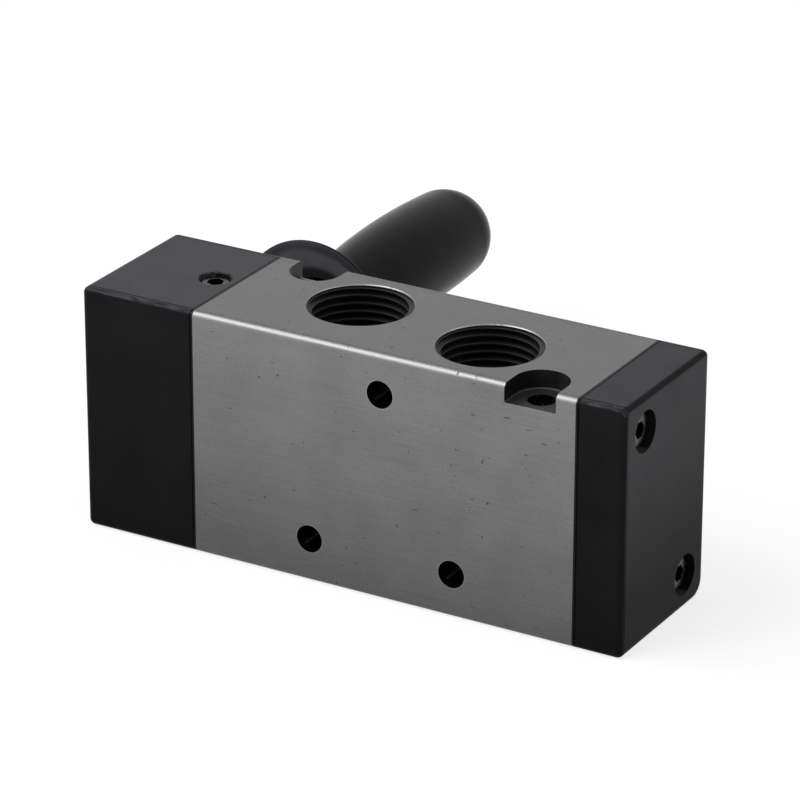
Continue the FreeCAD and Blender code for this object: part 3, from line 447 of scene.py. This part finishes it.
def turned_metal(name, shade, roughness, spacing):
    """A machined metal: its colour with rings of tool marks, spacing apart."""
    material, tree, shader = new_finish(name, Metallic=1.0)
    marks = mottle(tree, 1.0 / spacing, 2.0)
    x, y = places(tree)[:2]
    endways = places(tree, "Normal")[0]
    out, rear, slope = (add(tree, "Math", value, operation="ABSOLUTE") for value in (x, y, endways))
    # The chamfered edges of the heads at the valve's two ends are rubbed bright
    wear_and_highlight = chain(tree, "MULTIPLY",
                   add(tree, "Math", slope, 0.7, 0.2, operation="COMPARE"),
                   add(tree, "Math", out, 40 * MM, operation="GREATER_THAN"),
                   add(tree, "Math", rear, 12 * MM, operation="LESS_THAN"))
    ringed = add(tree, "MapRange", marks, *MOTTLE_SPAN, 0.85, 1.15)
    turned = add(tree, "VectorMath", shade[:3], Scale=ringed, operation="SCALE")
    join(shader, {
        "Base Color": add(tree, "Mix", wear_and_highlight, turned, srgb("#D8D9DB"), data_type="RGBA"),
        "Roughness": add(tree, "MapRange", marks, *MOTTLE_SPAN, roughness * 0.85, roughness * 1.2),
        "Normal": add(tree, "Bump", Height=marks, Distance=0.003 * MM),
    })
    return material


def blackened_steel():
    """Alloy steel under black oxide: almost black, with sharp glints where its edges are rubbed."""
    return turned_metal("blackened_steel", bpy.context.scene.valve_colours.screws, 0.22, 0.4 * MM)


def polished_steel():
    """Hardened steel, ground and polished: a near mirror."""
    return turned_metal("polished_steel", srgb("#C9CBCE"), 0.14, 0.3 * MM)


def drawn_stainless_wire():
    """Drawn stainless wire: bright with a slight grey."""
    return turned_metal("drawn_stainless_wire", srgb("#B4B6BA"), 0.24, 0.2 * MM)


def hard_anodised_spool():
    """Aluminium spool, hard anodised and lapped: pale grey and smooth."""
    return turned_metal("hard_anodised_spool", srgb("#A5A6A8"), 0.25, 0.5 * MM)


def turned_brass():
    """Free-cutting brass as it leaves the lathe: warm, with fine rings."""
    return turned_metal("turned_brass", srgb("#C9A35A"), 0.26, 0.3 * MM)


def moulded_nitrile():
    """Moulded nitrile rubber: dull black with a fine bloom."""
    material, tree, shader = new_finish("moulded_nitrile", Specular_IOR_Level=0.3)
    bloom_and_painted_light = mottle(tree, 1500.0, 3.0)
    tone = add(tree, "MapRange", bloom_and_painted_light, *MOTTLE_SPAN, 0.8, 1.3)
    join(shader, {
        "Base Color": add(tree, "VectorMath", srgb("#1A1A1B")[:3], Scale=tone, operation="SCALE"),
        "Roughness": add(tree, "MapRange", bloom_and_painted_light, *MOTTLE_SPAN, 0.5, 0.7),
    })
    return material


def moulded_acetal():
    """Natural acetal: milky white with a waxy sheen."""
    material, tree, shader = new_finish("moulded_acetal", Roughness=0.35)
    tone = add(tree, "MapRange", mottle(tree, 400.0, 2.0), *MOTTLE_SPAN, 0.95, 1.02)
    join(shader, {"Base Color": add(tree, "VectorMath", srgb("#E6E4DC")[:3], Scale=tone, operation="SCALE")})
    return material


FINISHES = {
    "body_metal": grey_anodised_aluminium,
    "black_metal": black_baked_enamel,
    "grip_plastic": black_moulded_phenolic,
    "screw_steel": blackened_steel,
    "bright_steel": polished_steel,
    "spring_steel": drawn_stainless_wire,
    "spool_metal": hard_anodised_spool,
    "seal_rubber": moulded_nitrile,
    "seat_plastic": moulded_acetal,
    "brass": turned_brass,
}
made_finishes = {}


def finish_for(slot):
    """The finish of a material slot, made the first time it is asked for."""
    if slot not in made_finishes:
        made_finishes[slot] = FINISHES[slot]()
    return made_finishes[slot]


def deselect():
    if bpy.context.mode != "OBJECT":
        bpy.ops.object.mode_set(mode="OBJECT")
    bpy.ops.object.select_all(action="DESELECT")


def choose(*pieces):
    deselect()
    for piece in pieces:
        piece.select_set(True)
    bpy.context.view_layer.objects.active = pieces[0]


def pick(piece, kind, test):
    """In edit mode, selects only the points, edges or faces that pass the test."""
    bpy.ops.mesh.select_mode(type=kind)
    bpy.ops.mesh.select_all(action="DESELECT")
    bpy.ops.object.mode_set(mode="OBJECT")
    parts = {"VERT": piece.data.vertices, "EDGE": piece.data.edges, "FACE": piece.data.polygons}[kind]
    for part in parts:
        part.select = test(part)
    bpy.ops.object.mode_set(mode="EDIT")


def finish_piece(piece, name, body, slot, nodes=(), angle=30):
    """Names a piece, puts its place into its mesh, dresses it, and lets it ride on its body."""
    choose(piece)
    bpy.ops.object.transform_apply(location=True, rotation=True, scale=True)
    bpy.ops.object.shade_smooth_by_angle(angle=math.radians(angle))
    piece.name = name
    piece.data.name = name
    piece.data.materials.clear()
    piece.data.materials.append(finish_for(slot))
    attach(piece, body)
    if nodes:
        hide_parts(*nodes)
    deselect()
    return piece


def close_shape():
    """In edit mode, merges doubled points and turns all faces outwards."""
    bpy.ops.mesh.select_all(action="SELECT")
    bpy.ops.mesh.remove_doubles(threshold=1e-6)
    bpy.ops.mesh.normals_make_consistent(inside=False)


def combine(piece, tool, operation):
    """Cuts the piece with the tool, or keeps only what they share, and takes the tool away."""
    choose(piece)
    change = piece.modifiers.new("combine", "BOOLEAN")
    change.operation = operation
    change.object = tool
    change.solver = "EXACT"
    bpy.ops.object.modifier_apply(modifier="combine")
    bpy.data.objects.remove(tool)


def turned_piece(outline, centre, axis, across, steps):
    """A turned piece: its outline, as (across, along) points from the axis, is drawn and spun round."""
    centre, axis, across = Vector(centre), Vector(axis), Vector(across)
    deselect()
    bpy.ops.mesh.primitive_plane_add(size=MM, location=(0, 0, 0))
    bpy.ops.object.mode_set(mode="EDIT")
    bpy.ops.mesh.select_all(action="SELECT")
    bpy.ops.mesh.merge(type="CENTER")
    place = Vector((0, 0, 0))
    for number, (out, along) in enumerate(outline):
        target = centre + across * out + axis * along
        if number == 0:
            bpy.ops.transform.translate(value=target - place)
        else:
            bpy.ops.mesh.extrude_region_move(TRANSFORM_OT_translate={"value": target - place})
        place = target
    bpy.ops.mesh.select_all(action="SELECT")
    bpy.ops.mesh.spin(steps=steps, angle=math.tau, center=centre, axis=axis)
    close_shape()
    bpy.ops.object.mode_set(mode="OBJECT")
    return bpy.context.object


def arc(centre, start, end, count):
    """Points along the shorter arc from start to end about the centre, without the first."""
    first = math.atan2(start[1] - centre[1], start[0] - centre[0])
    last = math.atan2(end[1] - centre[1], end[0] - centre[0])
    if last - first > math.pi:
        last -= math.tau
    if first - last > math.pi:
        last += math.tau
    radius = math.dist(centre, start)
    angles = [first + (last - first) * step / count for step in range(1, count + 1)]
    return [(centre[0] + radius * math.cos(angle), centre[1] + radius * math.sin(angle)) for angle in angles]


def thread_piece(sizes, x, y, bore, low, high):
    """The ridge of a port's thread, wound up from its section, then kept only between low and high."""
    deselect()
    sunk = 0.03 * MM
    foot = sizes.pitch * 0.96
    turns = math.ceil((high - low) / sizes.pitch) + 2
    bpy.ops.mesh.primitive_plane_add(size=1, location=(x, y, low - sizes.pitch), rotation=(math.pi / 2, 0, 0))
    piece = bpy.context.object
    bpy.ops.object.transform_apply(location=False, rotation=True, scale=True)
    bpy.ops.object.mode_set(mode="EDIT")
    bpy.ops.mesh.select_all(action="SELECT")
    bpy.ops.transform.resize(value=(sizes.tall + sunk, 1, foot))
    bpy.ops.transform.translate(value=(bore + sunk - (sizes.tall + sunk) / 2, 0, 0))
    pick(piece, "VERT", lambda point: point.co.x < bore - sizes.tall / 2)
    bpy.ops.transform.resize(value=(1, 1, sizes.crest))
    bpy.ops.mesh.select_all(action="SELECT")
    bpy.ops.mesh.delete(type="ONLY_FACE")
    bpy.ops.object.mode_set(mode="OBJECT")
    winding = piece.modifiers.new("winding", "SCREW")
    winding.axis = "Z"
    winding.angle = math.tau
    winding.screw_offset = sizes.pitch
    winding.iterations = turns
    winding.steps = sizes.steps
    winding.render_steps = sizes.steps
    bpy.ops.object.modifier_apply(modifier="winding")
    bpy.ops.object.mode_set(mode="EDIT")
    bpy.ops.mesh.select_all(action="SELECT")
    bpy.ops.mesh.fill_holes(sides=4)
    close_shape()
    bpy.ops.object.mode_set(mode="OBJECT")
    bpy.ops.mesh.primitive_cylinder_add(vertices=24, radius=bore + MM, depth=high - low,
                                        location=(x, y, (low + high) / 2))
    combine(piece, bpy.context.object, "INTERSECT")
    return piece


class VALVE_OT_port_threads(bpy.types.Operator):
    """Winds the pipe thread into each of the ports"""
    bl_idname = "valve.port_threads"
    bl_label = "Port Threads"

    def execute(self, context):
        sizes = context.scene.valve_threads
        for port in PORTS:
            x, y, near = port["pos_m"]
            inwards = -round(port["axis"][2])
            mouth = (TOP if inwards < 0 else 0.0) + sizes.mouth * inwards
            floor = near + port["dims"]["length_mm"] * MM * inwards
            bore = port["dims"]["r_mm"] * MM
            piece = thread_piece(sizes, x, y, bore, min(mouth, floor), max(mouth, floor))
            if not piece.data.polygons:
                raise RuntimeError(f"{port['name']}: the thread came out empty")
            finish_piece(piece, f"{port['name']}_thread", "valve", "body_metal", angle=25)
        return {"FINISHED"}


class VALVE_OT_hand_grip(bpy.types.Operator):
    """Turns the moulded grip with its dust skirt"""
    bl_idname = "valve.hand_grip"
    bl_label = "Hand Grip"

    def execute(self, context):
        sizes = context.scene.valve_grip
        rim = (HANDLE_HIGH.x - HANDLE_LOW.x) / 2
        start = HANDLE_LOW.y
        rim_top = start + sizes.rim_width
        edge = sizes.rim_round
        roof = start + sizes.pocket_depth
        hole_end = roof + sizes.insert_depth
        dish_centre = (0.0, start - math.sqrt(sizes.dish ** 2 - sizes.dish_edge ** 2))
        dish_inner = (sizes.pocket, dish_centre[1] + math.sqrt(sizes.dish ** 2 - sizes.pocket ** 2))
        neck_place = (sizes.neck, start + sizes.flare_height)
        flare_centre = (sizes.neck + sizes.flare, neck_place[1])
        flare_place = (flare_centre[0] - math.sqrt(sizes.flare ** 2 - (flare_centre[1] - rim_top) ** 2), rim_top)
        end_start = neck_place[1] + sizes.end_start
        end_radius = HANDLE_HIGH.y - end_start
        low, high = sizes.belly, sizes.end_start - sizes.belly
        belly_x = (end_radius ** 2 - sizes.neck ** 2 + high ** 2 - low ** 2) / (2 * (end_radius - sizes.neck))
        end_place = (end_radius, end_start)
        outline = [(0.0, hole_end), (sizes.insert, hole_end), (sizes.insert, roof), (sizes.pocket, roof), dish_inner]
        outline += arc(dish_centre, dish_inner, (sizes.dish_edge, start), 10)
        outline += [(rim - edge, start)]
        outline += arc((rim - edge, start + edge), (rim - edge, start), (rim, start + edge), 4)
        outline += [(rim, rim_top - edge)]
        outline += arc((rim - edge, rim_top - edge), (rim, rim_top - edge), (rim - edge, rim_top), 4)
        outline += [flare_place]
        outline += arc(flare_centre, flare_place, neck_place, 14)
        outline += arc((belly_x, neck_place[1] + sizes.belly), neck_place, end_place, 24)
        outline += arc((0.0, end_start), end_place, (0.0, HANDLE_HIGH.y), 20)
        piece = turned_piece(outline, (LEVER_X, 0, SPOOL_HEIGHT), (0, 1, 0), (1, 0, 0), sizes.steps)
        finish_piece(piece, "moulded_grip", "lever", "grip_plastic", ["lever_handle"], angle=40)
        return {"FINISHED"}


def hexagon_socket(piece, flats, place, turn, depth):
    """Cuts a hexagon socket into a piece, from the given place inwards."""
    bpy.ops.mesh.primitive_cylinder_add(vertices=6, radius=flats / math.sqrt(3), depth=depth * 2, location=place,
                                        rotation=turn)
    combine(piece, bpy.context.object, "DIFFERENCE")


def socket_screw(sizes, grip):
    """A knurled socket head screw along +X, with the underside of its head at X = 0."""
    deselect()
    tip, taper, chamfer, near = 0.2 * MM, 0.85, 0.3 * MM, 0.02 * MM
    bpy.ops.mesh.primitive_cylinder_add(vertices=sizes.flutes * 2, radius=sizes.head, depth=sizes.head_height,
                                        location=(sizes.head_height / 2, 0, 0), rotation=(0, math.pi / 2, 0))
    piece = bpy.context.object
    bpy.ops.object.transform_apply(location=True, rotation=True, scale=True)
    bpy.ops.object.mode_set(mode="EDIT")
    pick(piece, "FACE", lambda face: face.normal.x < -FACING)
    bpy.ops.mesh.inset(thickness=sizes.head - sizes.shank)
    bpy.ops.mesh.extrude_region_move(TRANSFORM_OT_translate={"value": (tip - grip, 0, 0)})
    bpy.ops.mesh.extrude_region_move(TRANSFORM_OT_translate={"value": (-tip, 0, 0)})
    bpy.ops.transform.resize(value=(1, taper, taper))
    edge = sizes.head - near
    pick(piece, "FACE", lambda face: face.normal.x > FACING)
    bpy.ops.mesh.inset(thickness=chamfer)
    pick(piece, "VERT", lambda point: math.hypot(point.co.y, point.co.z) > edge
         and point.co.x > sizes.head_height - near)
    bpy.ops.transform.translate(value=(-chamfer, 0, 0))
    step = math.tau / (sizes.flutes * 2)
    pick(piece, "VERT", lambda point: math.hypot(point.co.y, point.co.z) > edge
         and round(math.atan2(point.co.z, point.co.y) / step) % 2 == 1)
    squeeze = 1 - sizes.flute / sizes.head
    bpy.ops.transform.resize(value=(1, squeeze, squeeze), center_override=(0, 0, 0))
    close_shape()
    bpy.ops.object.mode_set(mode="OBJECT")
    hexagon_socket(piece, sizes.flats, (sizes.head_height, 0, 0), (0, math.pi / 2, 0), sizes.socket)
    return piece


class VALVE_OT_cap_screws(bpy.types.Operator):
    """Makes the knurled socket head screws that hold the lever block and the end cover"""
    bl_idname = "valve.cap_screws"
    bl_label = "Cap Screws"

    def execute(self, context):
        sizes = context.scene.valve_screws
        for node, sign in (("end_cover_screws", 1), ("lever_block_screws", -1)):
            low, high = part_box(node)
            across, rise = (high.y - low.y) / 2 - sizes.head, (high.z - low.z) / 2 - sizes.head
            seat = high.x - sizes.head_height if sign > 0 else low.x + sizes.head_height
            first = socket_screw(sizes, high.x - low.x - sizes.head_height)
            choose(first)
            bpy.ops.object.duplicate()
            second = bpy.context.object
            for piece, y, z in ((first, -across * sign, rise), (second, across * sign, -rise)):
                piece.rotation_euler = (0, 0, 0 if sign > 0 else math.pi)
                piece.location = (seat, y, SPOOL_HEIGHT + z)
            choose(first, second)
            bpy.ops.object.transform_apply(location=True, rotation=True, scale=True)
            bpy.ops.object.join()
            finish_piece(first, f"knurled_{node}", "valve", "screw_steel", [node])
        return {"FINISHED"}


class VALVE_OT_set_screw(bpy.types.Operator):
    """Makes the set screw over the detent spring"""
    bl_idname = "valve.set_screw"
    bl_label = "Set Screw"

    def execute(self, context):
        sizes = context.scene.valve_screws
        low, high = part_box("detent_screw")
        radius = (high.x - low.x) / 2
        x, y = (low.x + high.x) / 2, (low.y + high.y) / 2
        edge, tip, cone = 0.4 * MM, radius * 0.55, radius * 0.5
        turn, depth = math.radians(12), 2.4 * MM
        outline = [(0, low.z), (tip, low.z), (radius, low.z + cone), (radius, high.z - edge),
                   (radius - edge, high.z), (0, high.z)]
        piece = turned_piece(outline, (x, y, 0), (0, 0, 1), (1, 0, 0), 48)
        hexagon_socket(piece, sizes.flats, (x, y, high.z), (0, 0, turn), depth)
        finish_piece(piece, "socket_set_screw", "valve", "screw_steel", ["detent_screw"])
        return {"FINISHED"}


class VALVE_OT_finishes(bpy.types.Operator):
    """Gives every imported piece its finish"""
    bl_idname = "valve.finishes"
    bl_label = "Finishes"

    def execute(self, context):
        for part in frame["record"]["subparts"]:
            mesh = NODES[part["node"]].data
            if not mesh.materials:
                mesh.materials.append(None)
            for number in range(len(mesh.materials)):
                mesh.materials[number] = finish_for(part["material_slot"])
        return {"FINISHED"}


def seen_directly(tree):
    """A mask of the rays that show a surface: to the camera, in a reflection or through glass."""
    ray = add(tree, "LightPath").node.outputs
    return chain(tree, "MAXIMUM", ray["Is Camera Ray"], ray["Is Glossy Ray"], ray["Is Transmission Ray"])


def white_paper_sweep():
    """Matt white paper: it looks evenly lit to the eye and in reflections, and keeps a soft shadow."""
    material, tree, shader = new_finish("white_paper_sweep", Roughness=0.9, Specular_IOR_Level=0.1)
    shade = bpy.context.scene.valve_colours.backdrop
    fibres = add(tree, "MapRange", mottle(tree, 900.0, 3.0), *MOTTLE_SPAN, 0.995, 1.0)
    join(shader, {"Base Color": add(tree, "VectorMath", shade[:3], Scale=fibres, operation="SCALE")})
    glow = add(tree, "Emission", Color=(1, 1, 1, 1), Strength=1.0)
    share = chain(tree, "MULTIPLY", seen_directly(tree), PAPER_GLOW)
    output = [node for node in tree.nodes if node.type == "OUTPUT_MATERIAL"][0]
    join(output, {"Surface": add(tree, "MixShader", share, shader.outputs["BSDF"], glow)})
    return material


def softbox(name, place, aim, size, watts):
    """A large soft lamp that faces the valve."""
    data = bpy.data.lights.new(name, "AREA")
    data.shape = "RECTANGLE"
    data.size, data.size_y = size
    data.energy = watts
    lamp = bpy.data.objects.new(name, data)
    bpy.context.scene.collection.objects.link(lamp)
    lamp.location = place
    lamp.rotation_euler = (Vector(aim) - Vector(place)).to_track_quat("-Z", "Y").to_euler()
    return lamp


class VALVE_OT_studio(bpy.types.Operator):
    """Sets up the paper sweep, the soft lamps, the world and the camera"""
    bl_idname = "valve.studio"
    bl_label = "Studio"

    def execute(self, context):
        scene = context.scene
        studio = scene.valve_studio
        deselect()
        width, gap = 8.0, 0.02 * MM
        bpy.ops.mesh.primitive_plane_add(size=width, location=(0, 0, -gap))
        sweep = context.object
        sweep.name = "paper_sweep"
        sweep.data.materials.append(white_paper_sweep())
        world = bpy.data.worlds.new("studio_air")
        scene.world = world
        world.use_nodes = True
        tree = world.node_tree
        tree.nodes.clear()
        room = add(tree, "Background", Color=(1, 1, 1, 1), Strength=ROOM_LIGHT)
        wall = add(tree, "Background", Color=(1, 1, 1, 1), Strength=1.0)
        add(tree, "OutputWorld", Surface=add(tree, "MixShader", seen_directly(tree), room, wall))
        for box in SOFTBOXES:
            softbox(*box)
        camera_data = bpy.data.cameras.new("photo_camera")
        camera_data.lens = studio.lens
        camera_data.sensor_width = 36.0
        camera_data.clip_end = 20.0
        camera = bpy.data.objects.new("photo_camera", camera_data)
        scene.collection.objects.link(camera)
        aim = Vector(studio.aim).normalized()
        right = Vector(studio.level)
        right = (right - aim * right.dot(aim)).normalized()
        turned = Matrix((right, right.cross(aim), -aim)).transposed()
        camera.matrix_world = Matrix.Translation(Vector(studio.eye)) @ turned.to_4x4()
        scene.camera = camera
        scene.view_settings.view_transform = "Standard"
        return {"FINISHED"}


class VALVE_PT_sidebar(bpy.types.Panel):
    """Lists the valve's pieces and their sizes"""
    bl_idname = "VALVE_PT_sidebar"
    bl_label = "Air Valve"
    bl_space_type = "VIEW_3D"
    bl_region_type = "UI"
    bl_category = "Air Valve"

    def draw(self, context):
        for operator in OPERATORS:
            self.layout.operator(operator.bl_idname)
        for group in GROUPS:
            box = self.layout.box()
            box.label(text=group.replace("valve_", "").title())
            settings = getattr(context.scene, group)
            for name in settings.__annotations__:
                box.prop(settings, name)


OPERATORS = [
    VALVE_OT_port_threads,
    VALVE_OT_hand_grip,
    VALVE_OT_cap_screws,
    VALVE_OT_set_screw,
    VALVE_OT_finishes,
    VALVE_OT_studio,
]


def register():
    for group in GROUPS.values():
        bpy.utils.register_class(group)
    for operator in OPERATORS:
        bpy.utils.register_class(operator)
    bpy.utils.register_class(VALVE_PT_sidebar)
    for name, group in GROUPS.items():
        setattr(bpy.types.Scene, name, bpy.props.PointerProperty(type=group))


def unregister():
    for name in GROUPS:
        delattr(bpy.types.Scene, name)
    bpy.utils.unregister_class(VALVE_PT_sidebar)
    for operator in reversed(OPERATORS):
        bpy.utils.unregister_class(operator)
    for group in reversed(GROUPS.values()):
        bpy.utils.unregister_class(group)


def main():
    register()
    for operator in OPERATORS:
        family, name = operator.bl_idname.split(".")
        getattr(getattr(bpy.ops, family), name)()


if __name__ == "__main__":
    main()
